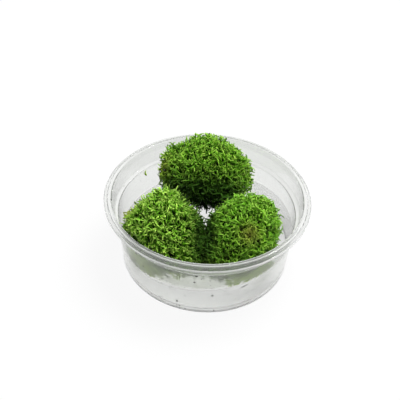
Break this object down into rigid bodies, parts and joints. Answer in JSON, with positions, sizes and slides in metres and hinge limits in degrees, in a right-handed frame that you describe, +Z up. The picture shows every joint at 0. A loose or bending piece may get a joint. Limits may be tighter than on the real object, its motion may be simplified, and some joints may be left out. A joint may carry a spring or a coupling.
{
  "type": "riccia in vitro cup",
  "caption": "Shallow round clear plastic cup without its lid, part filled with clear nutrient gel, on which round green cushions of riccia grow.",
  "frame": {"origin": "centre of the cup's base, on the surface that it stands on", "axes": "+Z up along the cup's axis; +Y towards the back cushion, away from the viewer; +X to the viewer's right"},
  "size_m": [0.101, 0.101, 0.051],
  "materials": {
    "clear_plastic": "thin clear formed sheet, glossy, with faint flow marks and small droplets",
    "gel": "clear, colourless set gel with a smooth wet surface",
    "riccia": "fresh yellow-green forked fronds, slightly glossy, near black green in the gaps"
  },
  "bodies": {
    "root": {"cup": "clear_plastic", "gel": "gel", "riccia_clump_back": "riccia", "riccia_clump_left": "riccia", "riccia_clump_right": "riccia"}
  },
  "joints": []
}
